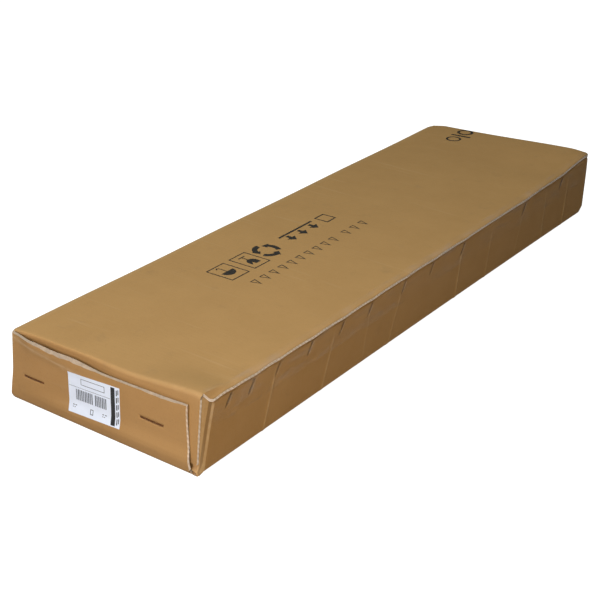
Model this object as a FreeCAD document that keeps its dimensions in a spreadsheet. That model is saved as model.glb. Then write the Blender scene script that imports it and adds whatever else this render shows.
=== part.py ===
# Long corrugated shipping carton, sealed: one blank folded into a five-panel wrap with full-overlap
# ends, a strip of clear tape along the lid's free edge, a paper label and four wide-crown staples.
# Frame: X across the width, Y along the length with the labelled end at -Y, Z up, millimetres.
# The origin is the centre of the base. The lid is hinged on the -X side and closes over the +X side.
import FreeCAD
import Part
import os
import Sketcher

doc = FreeCAD.newDocument("shipping_carton")
sheet = doc.addObject("Spreadsheet::Sheet", "Dims")

# Driving dimensions, in millimetres
DIMENSIONS = [
    ("carton_length", "1027"),
    ("carton_width", "280"),
    ("carton_height", "92"),
    ("board", "3.2"),
    ("crease_radius", "1.4"),
    ("crease_run", "2"),
    ("layer_gap", "0.3"),
    ("lid_tuck_clearance", "2"),
    ("outer_flap_left", "135"),
    ("outer_flap_right", "121"),
    ("outer_flap_height", "82"),
    ("lid_flap_left", "135"),
    ("lid_flap_right", "134.5"),
    ("lid_flap_tip", "13"),
    ("dust_flap_reach", "125"),
    ("dust_flap_slot", "0.5"),
    ("tape_on_lid", "10"),
    ("tape_on_side", "40"),
    ("tape_film", "0.1"),
    ("tape_lift", "0.05"),
    ("tape_bend", "0.2"),
    ("label_width", "76"),
    ("label_height", "51"),
    ("label_paper", "0.15"),
    ("label_lift", "0.02"),
    ("label_centre_x", "-8"),
    ("label_centre_z", "45.5"),
    ("staple_crown", "33"),
    ("staple_wire_width", "2.2"),
    ("staple_wire_depth", "0.9"),
    ("staple_bend", "0.5"),
    ("staple_clinch", "5"),
    ("staple_proud", "0.1"),
    ("staple_clearance", "0.15"),
    ("left_staple_x", "-102"),
    ("left_staple_z", "39"),
    ("right_staple_x", "74.5"),
    ("right_staple_z", "47"),
]


class Size:
    """A length that carries its value in millimetres and the formula that binds it to the sheet."""

    def __init__(self, value, formula):
        self.value = value
        self.formula = formula

    def __add__(self, other):
        return Size(self.value + other.value, f"({self.formula} + {other.formula})")

    def __sub__(self, other):
        return Size(self.value - other.value, f"({self.formula} - {other.formula})")

    def __neg__(self):
        return Size(-self.value, f"(-{self.formula})")

    def __mul__(self, factor):
        return Size(self.value * factor, f"({self.formula} * {factor})")

    def __truediv__(self, divisor):
        return Size(self.value / divisor, f"({self.formula} / {divisor})")


def fill_sheet():
    """Write the driving dimensions to the sheet, and return them as sizes by alias."""
    sizes = {}
    for row, (alias, text) in enumerate(DIMENSIONS, start=1):
        sheet.set(f"A{row}", alias)
        sheet.set(f"B{row}", text)
        sheet.setAlias(f"B{row}", alias)
        sizes[alias] = Size(float(text), f"Dims.{alias}")
    doc.recompute()
    return sizes


dims = fill_sheet()
zero = Size(0.0, "0")

# Sizes worked out from the driving dimensions
half_length = dims["carton_length"] / 2
half_width = dims["carton_width"] / 2
height = dims["carton_height"]
board = dims["board"]
crease = dims["crease_radius"]
fold = board + crease
layer = board + dims["layer_gap"]
under_lid = height - layer
wrap_half_length = half_length - layer * 2 - fold - dims["crease_run"]
end_layers = layer * 2 + board
staple_gap = dims["staple_clearance"]


def new_body(label):
    """Start an empty body for one piece."""
    body = doc.addObject("PartDesign::Body", label)
    body.Label = label
    return body


def new_sketch(body, name, plane, offset=None):
    """Start a sketch on one of the body's own origin planes, moved along the plane's normal."""
    sketch = body.newObject("Sketcher::SketchObject", name)
    support = next(item for item in body.Origin.OriginFeatures if item.Role == plane)
    sketch.AttachmentSupport = [(support, "")]
    sketch.MapMode = "FlatFace"
    if offset is not None:
        sketch.setExpression("AttachmentOffset.Base.z", offset.formula)
    return sketch


def dimension(sketch, kind, *arguments):
    """Add a dimension to a sketch and bind it to the sheet."""
    size = arguments[-1]
    index = sketch.addConstraint(Sketcher.Constraint(kind, *arguments[:-1], size.value))
    sketch.setExpression(f"Constraints[{index}]", size.formula)


def place_point(sketch, geometry, end, axis, size):
    """Fix one coordinate of an end of a line, measured from the sketch's origin."""
    dimension(sketch, "DistanceX" if axis == 0 else "DistanceY", -1, 1, geometry, end, size)


def add_line(sketch, start, end):
    """Add a straight line, held level or upright, and return its number."""
    line = sketch.addGeometry(Part.LineSegment(start, end))
    level = abs(end.x - start.x) > abs(end.y - start.y)
    sketch.addConstraint(Sketcher.Constraint("Horizontal" if level else "Vertical", line))
    return line


def add_bend(sketch, before, after, centre, radius, start, end):
    """Round the corner between two lines with a tangent arc, and return its number."""
    left_turn = (start - centre).cross(end - centre).z > 0
    first, last = (start, end) if left_turn else (end, start)
    x_axis = FreeCAD.Vector(1, 0, 0)
    angles = []
    for point in (first, last):
        turn = (point - centre).getAngle(x_axis)
        angles.append(turn if point.y >= centre.y else -turn)
    circle = Part.Circle(centre, FreeCAD.Vector(0, 0, 1), radius)
    arc = sketch.addGeometry(Part.ArcOfCircle(circle, angles[0], angles[1]))
    sketch.addConstraint(Sketcher.Constraint("Tangent", before, 2, arc, 1 if left_turn else 2))
    sketch.addConstraint(Sketcher.Constraint("Tangent", arc, 2 if left_turn else 1, after, 1))
    return arc


def folded_strip(sketch, corners, thickness, bend):
    """Draw a strip of even thickness that is folded at right angles.

    The corners are the sharp corners of its outer face, from one free edge to the other. All its
    folds turn the same way, and the thickness lies inside the turn.
    """
    points = [FreeCAD.Vector(u.value, v.value, 0) for u, v in corners]
    legs = len(points) - 1
    runs = [(points[i + 1] - points[i]).normalize() for i in range(legs)]
    left_turn = runs[0].cross(runs[1]).z > 0
    side = 1 if left_turn else -1
    inward = [FreeCAD.Vector(-run.y * side, run.x * side, 0) for run in runs]
    outer_radius = thickness + bend

    starts = []
    ends = []
    for i in range(legs):
        starts.append(points[i] + runs[i] * (outer_radius.value if i > 0 else 0))
        ends.append(points[i + 1] - runs[i] * (outer_radius.value if i < legs - 1 else 0))
    depth = [normal * thickness.value for normal in inward]
    outer = [add_line(sketch, starts[i], ends[i]) for i in range(legs)]
    inner = [add_line(sketch, starts[i] + depth[i], ends[i] + depth[i]) for i in range(legs)]

    for lines, radius, shift in ((outer, outer_radius, False), (inner, bend, True)):
        arcs = []
        for i in range(legs - 1):
            centre = ends[i] + inward[i] * outer_radius.value
            start = ends[i] + depth[i] if shift else ends[i]
            end = starts[i + 1] + depth[i + 1] if shift else starts[i + 1]
            arcs.append(add_bend(sketch, lines[i], lines[i + 1], centre, radius.value, start, end))
        dimension(sketch, "Radius", arcs[0], radius)
        for arc in arcs[1:]:
            sketch.addConstraint(Sketcher.Constraint("Equal", arcs[0], arc))

    for leg, end, tip in ((0, 1, starts[0]), (legs - 1, 2, ends[-1])):
        cap = add_line(sketch, tip, tip + depth[leg])
        sketch.addConstraint(Sketcher.Constraint("Coincident", cap, 1, outer[leg], end))
        sketch.addConstraint(Sketcher.Constraint("Coincident", cap, 2, inner[leg], end))
        along = 0 if abs(runs[leg].x) > 0.5 else 1
        place_point(sketch, outer[leg], end, along, corners[0 if end == 1 else -1][along])

    for i in range(legs):
        across = 1 if abs(runs[i].x) > 0.5 else 0
        place_point(sketch, outer[i], 1, across, corners[i][across])
        wall = thickness if inward[i][across] > 0 else -thickness
        dimension(sketch, "DistanceX" if across == 0 else "DistanceY", outer[i], 1, inner[i], 1, wall)


def rectangle(sketch, centre, width, tall):
    """Draw a rectangle by its centre, width and height."""
    lows = [centre[0] - width / 2, centre[1] - tall / 2]
    highs = [centre[0] + width / 2, centre[1] + tall / 2]
    corners = [(lows[0], lows[1]), (highs[0], lows[1]), (highs[0], highs[1]), (lows[0], highs[1])]
    points = [FreeCAD.Vector(u.value, v.value, 0) for u, v in corners]
    lines = [add_line(sketch, points[i], points[(i + 1) % 4]) for i in range(4)]
    for i in range(4):
        sketch.addConstraint(Sketcher.Constraint("Coincident", lines[i], 2, lines[(i + 1) % 4], 1))
    for corner in (0, 2):
        for axis in (0, 1):
            place_point(sketch, lines[corner], 1, axis, corners[corner][axis])


def extrude(body, kind, name, sketch, length, back=None, symmetric=False):
    """Pad or pocket a sketch by a bound length, to one side, both sides or evenly about its plane."""
    feature = body.newObject(kind, name)
    feature.Profile = sketch
    feature.setExpression("Length", length.formula)
    if symmetric:
        feature.SideType = "Symmetric"
    if back is not None:
        feature.SideType = "Two sides"
        feature.setExpression("Length2", back.formula)
    sketch.Visibility = False
    body.Tip = feature
    return feature


def wrap_panels(body):
    """Fold the lid, back, base, front and the panel under the lid as one strip round the contents."""
    sketch = new_sketch(body, "wrap_section", "XZ_Plane")
    tucked_edge = -half_width + board + dims["lid_tuck_clearance"]
    corners = [
        (half_width, height),
        (-half_width, height),
        (-half_width, zero),
        (half_width, zero),
        (half_width, under_lid),
        (tucked_edge, under_lid),
    ]
    folded_strip(sketch, corners, board, crease)
    extrude(body, "PartDesign::Pad", "wrap", sketch, wrap_half_length * 2, symmetric=True)


def outer_flap(body):
    """Fold the base's flap up over the end: it is the layer that shows."""
    sketch = new_sketch(body, "outer_flap_section", "YZ_Plane")
    corners = [
        (-wrap_half_length, zero),
        (-half_length, zero),
        (-half_length, dims["outer_flap_height"]),
    ]
    folded_strip(sketch, corners, board, crease)
    return extrude(body, "PartDesign::Pad", "outer_flap", sketch,
                   dims["outer_flap_right"], back=dims["outer_flap_left"])


def lid_flap(body):
    """Fold the lid's flap down behind the outer flap."""
    sketch = new_sketch(body, "lid_flap_section", "YZ_Plane")
    face = -half_length + layer
    corners = [
        (-wrap_half_length, height),
        (face, height),
        (face, dims["lid_flap_tip"]),
    ]
    folded_strip(sketch, corners, board, crease)
    return extrude(body, "PartDesign::Pad", "lid_flap", sketch,
                   dims["lid_flap_right"], back=dims["lid_flap_left"])


def dust_flap(body, name, side):
    """Fold one long side's flap in behind the lid's flap: side is 1 at +X and -1 at -X."""
    low = fold + dims["dust_flap_slot"]
    high = under_lid - fold - dims["dust_flap_slot"]
    sketch = new_sketch(body, f"{name}_section", "XY_Plane", low)
    face = -half_length + layer * 2
    corners = [
        (half_width * side, -wrap_half_length),
        (half_width * side, face),
        ((half_width - dims["dust_flap_reach"]) * side, face),
    ]
    folded_strip(sketch, corners, board, crease)
    return extrude(body, "PartDesign::Pad", name, sketch, high - low)


def staple_places():
    """Give the crown centres of the two staples of one end, as sizes across and up."""
    return {
        "left": (dims["left_staple_x"], dims["left_staple_z"]),
        "right": (dims["right_staple_x"], dims["right_staple_z"]),
    }


def staple_cuts(body):
    """Sink each crown into the outer flap and pierce the three end layers for its legs."""
    wire = dims["staple_wire_width"] + staple_gap * 2
    crown = dims["staple_crown"] + staple_gap * 2
    leg = dims["staple_wire_depth"] + staple_gap * 2
    leg_offset = (dims["staple_crown"] - dims["staple_wire_depth"]) / 2
    seats = new_sketch(body, "staple_seats", "XZ_Plane", half_length)
    holes = new_sketch(body, "staple_holes", "XZ_Plane", half_length)
    for across, up in staple_places().values():
        rectangle(seats, (across, up), crown, wire)
        for end in (-1, 1):
            rectangle(holes, (across + leg_offset * end, up), leg, wire)
    seat_depth = dims["staple_wire_depth"] + staple_gap - dims["staple_proud"]
    return [
        extrude(body, "PartDesign::Pocket", "staple_seat_cut", seats, seat_depth),
        extrude(body, "PartDesign::Pocket", "staple_hole_cut", holes, end_layers + staple_gap),
    ]


def make_carton():
    """Build the folded blank: the wrap, the flaps of one end with their staple cuts, and the other end."""
    body = new_body("carton")
    wrap_panels(body)
    end_features = [
        outer_flap(body),
        lid_flap(body),
        dust_flap(body, "front_dust_flap", 1),
        dust_flap(body, "back_dust_flap", -1),
    ]
    end_features += staple_cuts(body)
    doc.recompute()
    far_end = body.newObject("PartDesign::Mirrored", "far_end")
    plane = next(item for item in body.Origin.OriginFeatures if item.Role == "XZ_Plane")
    far_end.Originals = end_features
    far_end.MirrorPlane = (plane, [""])
    body.Tip = far_end
    return body


def make_seam_tape():
    """Run clear film along the lid's free edge: a little on the lid, the rest down the front."""
    body = new_body("seam_tape")
    sketch = new_sketch(body, "tape_section", "XZ_Plane")
    stand_off = dims["tape_lift"] + dims["tape_film"]
    face = half_width + stand_off
    top = height + stand_off
    corners = [
        (half_width - dims["tape_on_lid"], top),
        (face, top),
        (face, height - dims["tape_on_side"]),
    ]
    folded_strip(sketch, corners, dims["tape_film"], dims["tape_bend"])
    extrude(body, "PartDesign::Pad", "tape", sketch, wrap_half_length * 2, symmetric=True)
    return body


def make_label():
    """Lay the paper label on the outer flap of the near end."""
    body = new_body("label")
    sketch = new_sketch(body, "label_outline", "XZ_Plane")
    rectangle(sketch, (zero, zero), dims["label_width"], dims["label_height"])
    extrude(body, "PartDesign::Pad", "paper", sketch, dims["label_paper"])
    body.setExpression("Placement.Base.x", dims["label_centre_x"].formula)
    body.setExpression("Placement.Base.y", (-half_length - dims["label_lift"]).formula)
    body.setExpression("Placement.Base.z", dims["label_centre_z"].formula)
    return body


def make_staple(label, across, up, end):
    """Bend one staple of flat wire and clinch its legs behind the flaps: end is -1 near and 1 far."""
    body = new_body(label)
    sketch = new_sketch(body, f"{label}_wire", "XY_Plane")
    half_crown = dims["staple_crown"] / 2
    tip = half_crown - dims["staple_clinch"]
    front = -dims["staple_proud"]
    back = end_layers + staple_gap + dims["staple_wire_depth"]
    corners = [(-tip, back), (-half_crown, back), (-half_crown, front),
               (half_crown, front), (half_crown, back), (tip, back)]
    folded_strip(sketch, corners, dims["staple_wire_depth"], dims["staple_bend"])
    extrude(body, "PartDesign::Pad", f"{label}_bar", sketch, dims["staple_wire_width"], symmetric=True)
    if end > 0:
        body.Placement.Rotation = FreeCAD.Rotation(FreeCAD.Vector(0, 0, 1), 180)
    body.setExpression("Placement.Base.x", across.formula)
    body.setExpression("Placement.Base.y", (half_length * end).formula)
    body.setExpression("Placement.Base.z", up.formula)
    return body


def make_staples():
    """Put the two staples in each end."""
    staples = []
    for end_name, end in (("near", -1), ("far", 1)):
        for side, (across, up) in staple_places().items():
            staples.append(make_staple(f"staple_{end_name}_{side}", across, up, end))
    return staples


def check_pieces(pieces):
    """Stop if any object failed to build or a piece isn't one closed, valid solid."""
    for item in doc.Objects:
        if "Invalid" in item.State or "Error" in item.State:
            raise RuntimeError(f"{item.Label} did not build: {item.State}")
    for piece in pieces:
        shape = piece.Shape
        if shape.isNull() or not shape.isValid() or len(shape.Solids) != 1:
            raise RuntimeError(f"{piece.Label} is not one valid solid")


def write_pieces(pieces):
    """Write each piece to a file that carries its name."""
    os.makedirs("parts", exist_ok=True)
    for piece in pieces:
        piece.Shape.exportStep(f"parts/{piece.Label}.step")


carton_pieces = [make_carton(), make_seam_tape(), make_label()] + make_staples()
doc.recompute()
check_pieces(carton_pieces)
write_pieces(carton_pieces)
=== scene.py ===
"""Dress a sealed corrugated shipping carton: folded board, clear tape, paper label, staples and print."""

import math

import bmesh
import bpy
from mathutils import Matrix, Vector


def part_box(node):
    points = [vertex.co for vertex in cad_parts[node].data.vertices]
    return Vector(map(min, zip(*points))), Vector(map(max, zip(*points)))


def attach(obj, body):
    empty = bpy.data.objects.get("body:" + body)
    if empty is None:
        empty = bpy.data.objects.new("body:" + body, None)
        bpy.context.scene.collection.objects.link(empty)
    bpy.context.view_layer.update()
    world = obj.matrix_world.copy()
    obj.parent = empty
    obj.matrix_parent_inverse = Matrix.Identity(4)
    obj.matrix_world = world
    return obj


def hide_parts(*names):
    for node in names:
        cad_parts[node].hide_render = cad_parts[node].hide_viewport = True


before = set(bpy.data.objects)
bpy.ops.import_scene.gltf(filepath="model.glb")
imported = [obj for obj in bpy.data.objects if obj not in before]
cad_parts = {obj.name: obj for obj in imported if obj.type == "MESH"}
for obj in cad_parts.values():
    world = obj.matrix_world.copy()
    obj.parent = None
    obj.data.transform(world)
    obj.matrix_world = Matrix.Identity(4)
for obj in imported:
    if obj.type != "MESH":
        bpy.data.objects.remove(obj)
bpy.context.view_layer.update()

bl_info = {
    "name": "Corrugated shipping carton",
    "version": (1, 0, 0),
    "blender": (4, 5, 0),
    "location": "View3D > Sidebar > Carton",
    "description": "Models a long sealed carton of corrugated board with tape, label, staples and print",
    "category": "Add Mesh",
}

MM = 0.001
TINY = 0.00002
IMAGE_PIXELS = 600
SENSOR_WIDTH = 36.0
NEAR, FAR = -1, 1
MOST_PARTS = 100
FOLD_PARTS = 5
FLAP_PARTS = 3
SMALLEST_MOVE = 0.000001
SHARP_ANGLE = 35
INK_THICKNESS = 0.03 * MM
INK_CUTS = 3

# How far the label, its print and the lid's print stand off what they lie on
LABEL_LIFT = 0.05 * MM
LABEL_THICKNESS = 0.12 * MM
LABEL_INK_LIFT = 0.15 * MM
LID_INK_LIFT = 0.04 * MM
CARTON_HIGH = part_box("carton")[1]
TAPE_LOW, TAPE_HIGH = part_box("seam_tape")
LABEL_LOW, LABEL_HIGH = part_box("label")

# Longest steps of the sheet's rows: fine where it bends, coarser where it stays flat or hidden
FINE_STEP = 2 * MM
PLAIN_STEP = 5 * MM
LID_STEP = 7 * MM
LID_FLAP_STEP = 8 * MM
BACK_STEP = 12 * MM
DUST_STEP = 20 * MM
TUCK_STEP = 40 * MM
TUCK_CLEARANCE = 2 * MM

# Places along the seam, in millimetres from the middle, where the taped edge is pleated
SEAM_PLEATS = (-459, -416, -366, -299, -230, -164, -81, -6, 83, 278, 408)
PLEAT_TOP = 84 * MM
PLEAT_DROP = 19 * MM
PLEAT_LEAN = 11 * MM
PLEAT_HALF = 2.9 * MM
PLEAT_WIDER = 0.004
PLEAT_DEPTH = 2.7 * MM
PLEAT_FOOT = PLEAT_TOP - PLEAT_DROP - 4 * MM

# Creases down the seam side: places along the length at the top and at the foot, in millimetres
SIDE_CREASES = ((-377, -390), (-253, -270), (-170, -178), (-92, -113), (75, 70), (168, 160),
                (270, 253), (349, 347), (430, 424))
CREASE_TOP = 68 * MM
CREASE_FOOT = 5 * MM
CREASE_HALF = 2.4 * MM
CREASE_RISE = 0.7 * MM
CREASE_END = 0.086

# How far from the carton's middle the corners of its long sides start
CORNER_ZONE = 0.48

# Facet that turns the seam side's corner by the labelled end: two points of its crease, and its slant
CORNER_TOP = Vector((0.14, -0.4914, 0.081))
CORNER_FOOT = Vector((0.14, -0.5003, 0.004))
CORNER_SLANT = Vector((0.33, 0.944, 0))
CORNER_NORMAL = (CORNER_FOOT - CORNER_TOP).cross(CORNER_SLANT).normalized()
CORNER_ACROSS = CORNER_NORMAL.cross(CORNER_FOOT - CORNER_TOP).normalized()

# The facet's ridge, painted pale as a highlight, and its valley, painted with shade: where each starts and
# ends, in millimetres from the crease
CORNER_RIDGE = (0.2, 2.9)
CORNER_VALLEY = (4.4, 7.4)
CORNER_END = CORNER_VALLEY[1] + 1

# How far each corner of an end is pushed along: foot and top by the hinge, foot and top by the seam
NEAR_TWIST = (2.7 * MM, -2.0 * MM, -6.1 * MM, -2.8 * MM)
FAR_TWIST = (-8 * MM, -8 * MM, 0.0, 6 * MM)

# How far the lid has moved by the seam: sprung up at both ends, sunk along the tape and at its near corner
FAR_LIFT = 7.8 * MM
NEAR_LIFT = 5.6 * MM
SEAM_SAG = 3.5 * MM
NEAR_DROOP = 2.8 * MM
EDGE_BEND = 1.5 * MM
LID_WAVE = 0.3 * MM
LID_DENT = 0.9 * MM

# How far the lid's far corners are crushed, down and along, and how much more the one by the hinge is
FAR_CRUSH = (1.8 * MM, 2.0 * MM)
HINGE_CRUSH = 1.4

# Where the lid's near corner by the seam is torn off short, and the radius that its far one is rounded to
TORN_PLACE = Vector((0.14, -0.4945, 0))
TORN_NORMAL = Vector((0.876, -0.482, 0)).normalized()
ROUNDED = 5 * MM

# How far the lid's near fold is pushed in behind the flared flap
FOLD_PUSH = 3.0 * MM

# How far the long sides are spread at their feet: the hinge side only towards the labelled end
HINGE_SPREAD = -1.5 * MM
SEAM_SPREAD_NEAR = 1.3 * MM
SEAM_SPREAD_MORE = 4.7 * MM

# Facet that the far corner of the base is crushed to
CRUSHED_HEIGHT = 14 * MM
CRUSHED_NORMAL = Vector((0.45, 0.55, -0.7)).normalized()

# Crease that lets the top of the labelled end's outer flap flare: height at the hinge side, and its fall
FLARE_START = Vector((-0.135, 0, 0.075))
FLARE_FALL = 0.104

# How far that flap stands off, is pushed in by the hinge and is crushed along its top
FLAP_STAND_OFF = 6.0 * MM
FLAP_PUSH = 5.0 * MM
FLAP_CRUSH = 4.0 * MM
FLAP_KNEE = 0.0159

# How far the dust flap by the seam steps out at its foot
CORNER_STEP = 4.0 * MM

STAPLE_PLACES = {side: sum(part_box(f"staple_near_{side}"), Vector()) / 2 for side in ("left", "right")}
STAPLE_TILT = {"left": 0.0, "right": -0.029}
GROOVE_DEPTH = 0.8 * MM
GROOVE_ROOM = (24 * MM, 12 * MM)
GROOVE_CUTS = 4

# Studio lights: place and size in metres, tint, and whether each leaves a sheen where it glances off
LAMPS = {
    "key": (Vector((0.2, -0.6, 1.95)), 1.0, (0.868, 0.992, 1.0), True),
    "front": (Vector((0.0, -1.9, 0.8)), 0.6, (1.0, 0.951, 0.944), True),
    "side": (Vector((1.2, -0.9, 0.3)), 0.5, (1.0, 0.8, 0.5), True),
    "back": (Vector((-1.2, 1.2, 0.35)), 0.6, (0.92, 0.99, 1.0), False),
}
LAMP_AIM = Vector((0.0, -0.25, 0.05))
FLOOR_SIZE = 40.0


# Properties

def length(name, millimetres, description):
    """Declare a length that a user may change, with its default in millimetres."""
    return bpy.props.FloatProperty(name=name, description=description, default=millimetres * MM,
                                   unit="LENGTH", precision=5)


def colour(name, value, description):
    """Declare a colour that a user may change."""
    return bpy.props.FloatVectorProperty(name=name, description=description, default=value, size=3,
                                         min=0.0, max=1.0, subtype="COLOR")


def number(name, value, description):
    """Declare a plain number that a user may change."""
    return bpy.props.FloatProperty(name=name, description=description, default=value, precision=4)


def angle(name, degrees, description):
    """Declare an angle that a user may change, with its default in degrees."""
    return bpy.props.FloatProperty(name=name, description=description, default=math.radians(degrees),
                                   subtype="ANGLE", precision=4)


class CartonSizes(bpy.types.PropertyGroup):
    """Sizes of the folded board and of what is fixed to it."""

    board: length("Board", 3.2, "Thickness of the corrugated board")
    liner: length("Liner", 0.4, "Thickness of the paper liner on each face of the board")
    medium: length("Medium", 0.4, "Thickness of the wavy paper between the liners")
    flute_pitch: length("Flute pitch", 6.35, "Distance from one flute to the next")
    flute_depth: length("Flute depth", 0.5, "How far a cut edge is hollow between its liners")
    crease_radius: length("Crease radius", 1.4, "Inside radius of a fold")
    base_radius: length("Base end radius", 6.0, "Outside radius of the soft fold under each end")
    crease_run: length("Crease run", 2.0, "How far the slots between flaps pass the folds")
    layer_gap: length("Layer gap", 0.3, "Air between the layers of an end")
    outer_right: length("Outer flap right", 121.0, "Reach of the outer flap towards the seam side")
    outer_height: length("Outer flap height", 80.0, "Height of the outer flap's free edge at its lowest")
    lid_right: length("Lid flap right", 134.5, "Reach of the lid's flap towards the seam side")
    lid_tip: length("Lid flap tip", 13.0, "Height of the lid flap's free edge")
    dust_reach: length("Dust flap reach", 125.0, "Reach of a dust flap across the end")
    rack_across: number("Rack across", 0.04, "Lean of the upright faces across the width")
    rack_along: number("Rack along", 0.028, "Lean of the upright faces along the length")
    film: length("Film", 0.05, "Thickness of the clear tape")
    label_turn: angle("Label turn", 2.2, "How far the label is stuck out of true")
    wire_width: length("Wire width", 2.2, "Width of the staple's flat wire")
    wire_thickness: length("Wire thickness", 0.9, "Thickness of the staple's flat wire")
    crown: length("Crown", 33.0, "Length of the staple's crown")


class Finishes(bpy.types.PropertyGroup):
    """Colours of the finishes."""

    kraft: colour("Kraft", (0.367, 0.2025, 0.0725), "Liner of the board")
    kraft_dark: colour("Kraft shade", (0.34, 0.185, 0.064), "Darker fibre clouds of the liner")
    fleck: colour("Fleck", (0.2, 0.108, 0.042), "Dark flecks in the liner")
    smudge: colour("Smudge", (0.217, 0.129, 0.058), "Smudges from handling")
    # Painted shade for the pleat grooves, the lid's free edge, the corner facet's valley and the labelled
    # end's foot
    shade: colour("Shade", (0.075, 0.042, 0.018), "Liner in the shade of pleats and edges")
    # Pale liner of rubbed folds and scratches, also used for the painted highlights
    rubbed_and_highlit: colour("Rubbed kraft", (0.467, 0.308, 0.158), "Liner where folds are rubbed")
    cut_edge: colour("Cut edge", (0.36, 0.265, 0.19), "Cut edges along the flutes")
    flute: colour("Flute paper", (0.92, 0.82, 0.78), "Cut edges across the flutes")
    flute_hollow_shade: colour("Flute hollow", (0.66, 0.55, 0.48), "Shaded hollows between the flutes")
    ink: colour("Ink", (0.02, 0.015, 0.011), "Flexographic ink on the lid")
    paper: colour("Paper", (0.7, 0.755, 0.873), "Label paper")
    toner: colour("Toner", (0.012, 0.012, 0.014), "Print on the label")
    # Grey of the film, which shows through its veil as a painted sheen
    film: colour("Film", (0.6, 0.55, 0.55), "Clear packing film")
    copper: colour("Copper", (0.283, 0.125, 0.05), "Dulled copper coat of the staples")
    floor: colour("Floor", (0.29, 0.29, 0.29), "Studio floor")


class StageSettings(bpy.types.PropertyGroup):
    """Camera and studio light."""

    azimuth: angle("Azimuth", 32.69, "Camera's place round the carton, from the labelled end")
    elevation: angle("Elevation", 24.92, "Camera's height above the floor plane")
    roll: angle("Roll", 2.48, "Camera's turn about its own axis")
    distance: length("Distance", 1937.6, "From the camera to the point that it looks at")
    target_x: length("Target across", -26.7, "Point that the camera looks at, across the width")
    target_y: length("Target along", -70.7, "Point that the camera looks at, along the length")
    focal_pixels: number("Focal length", 1401.0, "Camera's focal length in pixels of a 600 pixel frame")
    key_power: number("Key light", 34.6, "Power of the soft light overhead in watts")
    front_power: number("Front light", 20.7, "Power of the warm light before the labelled end in watts")
    side_power: number("Side light", 7.1, "Power of the low light beside the seam in watts")
    back_power: number("Back light", 9.0, "Power of the low light behind the far end in watts")
    sky: number("Sky", 0.036, "Strength of the plain surround")
    floor_glow: number("Floor glow", 1.0, "Brightness that the backlit floor adds in view")


# Modelling helpers

def smooth(low, high, value):
    """Ease from 0 at one value to 1 at another."""
    part = min(1.0, max(0.0, (value - low) / (high - low)))
    return part * part * (3 - 2 * part)


def choose(piece):
    """Make an object the only selected one, and the active one."""
    bpy.ops.object.select_all(action="DESELECT")
    piece.select_set(True)
    bpy.context.view_layer.objects.active = piece


def edit(piece):
    """Open one mesh, alone, in edit mode."""
    choose(piece)
    bpy.ops.object.mode_set(mode="EDIT")


def leave():
    """Return to object mode."""
    bpy.ops.object.mode_set(mode="OBJECT")


def pick(piece, kind, test):
    """Select the vertices, edges or faces of the open mesh that pass a test."""
    bpy.ops.mesh.select_mode(type=kind)
    bpy.ops.mesh.select_all(action="DESELECT")
    mesh = bmesh.from_edit_mesh(piece.data)
    items = {"VERT": mesh.verts, "EDGE": mesh.edges, "FACE": mesh.faces}[kind]
    found = [item for item in items if test(item)]
    for item in found:
        item.select_set(True)
    bmesh.update_edit_mesh(piece.data)
    if not found:
        raise RuntimeError(f"nothing to select on {piece.name}")


def pick_faces(piece, test):
    """Select the faces of the open mesh whose middles pass a test."""
    pick(piece, "FACE", lambda face: test(face.calc_center_median()))


def middle(edge):
    """Give the middle of an edge."""
    return (edge.verts[0].co + edge.verts[1].co) / 2


def start_row(name, start, end, parts=1):
    """Start a mesh as a row of edges drawn out from a single point, left selected in edit mode."""
    bpy.ops.object.select_all(action="DESELECT")
    bpy.ops.mesh.primitive_plane_add(size=MM, enter_editmode=True)
    piece = bpy.context.object
    piece.name = name
    bpy.ops.mesh.select_mode(type="VERT")
    bpy.ops.mesh.select_all(action="SELECT")
    bpy.ops.mesh.merge(type="CENTER")
    bpy.ops.transform.translate(value=start)
    bpy.ops.mesh.extrude_vertices_move(TRANSFORM_OT_translate={"value": end - start})
    bpy.ops.mesh.select_all(action="SELECT")
    bpy.ops.mesh.select_mode(type="EDGE")
    while parts > 1:
        share = min(parts, MOST_PARTS)
        bpy.ops.mesh.subdivide(number_cuts=share - 1)
        bpy.ops.mesh.select_all(action="SELECT")
        parts = math.ceil(parts / share)
    return piece


def extrude_along(path):
    """Extrude the selected edges from point to point of a path."""
    for here, there in zip(path, path[1:]):
        bpy.ops.mesh.extrude_edges_move(TRANSFORM_OT_translate={"value": there - here})


def steps(places, pitch):
    """Divide the runs between places on a line into even steps no longer than the pitch."""
    divided = [places[0]]
    for here, there in zip(places, places[1:]):
        count = max(1, math.ceil(abs(there - here) / pitch - TINY))
        divided += [here + (there - here) * k / count for k in range(1, count + 1)]
    return divided


def polar(centre, radius, degrees):
    """Give the point at a distance and an angle from a centre, as a pair."""
    around = math.radians(degrees)
    return centre[0] + radius * math.cos(around), centre[1] + radius * math.sin(around)


def turn(centre, radius, first, last, parts=FOLD_PARTS):
    """Give the points of an arc after its first point, as pairs, from angles in degrees."""
    return [polar(centre, radius, first + (last - first) * k / parts) for k in range(1, parts + 1)]


def face_outwards(piece, sample):
    """Turn an open sheet's faces so that the face nearest a point beside it looks towards that point."""
    bpy.ops.mesh.select_all(action="SELECT")
    bpy.ops.mesh.normals_make_consistent(inside=False)
    mesh = bmesh.from_edit_mesh(piece.data)
    nearest = min(mesh.faces, key=lambda face: (face.calc_center_median() - sample).length)
    if nearest.normal.dot(sample - nearest.calc_center_median()) < 0:
        bpy.ops.mesh.flip_normals()


def apply_modifier(piece, name, kind, **settings):
    """Add a modifier with its settings and apply it."""
    choose(piece)
    modifier = piece.modifiers.new(name, kind)
    for key, value in settings.items():
        setattr(modifier, key, value)
    bpy.ops.object.modifier_apply(modifier=name)


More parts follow.
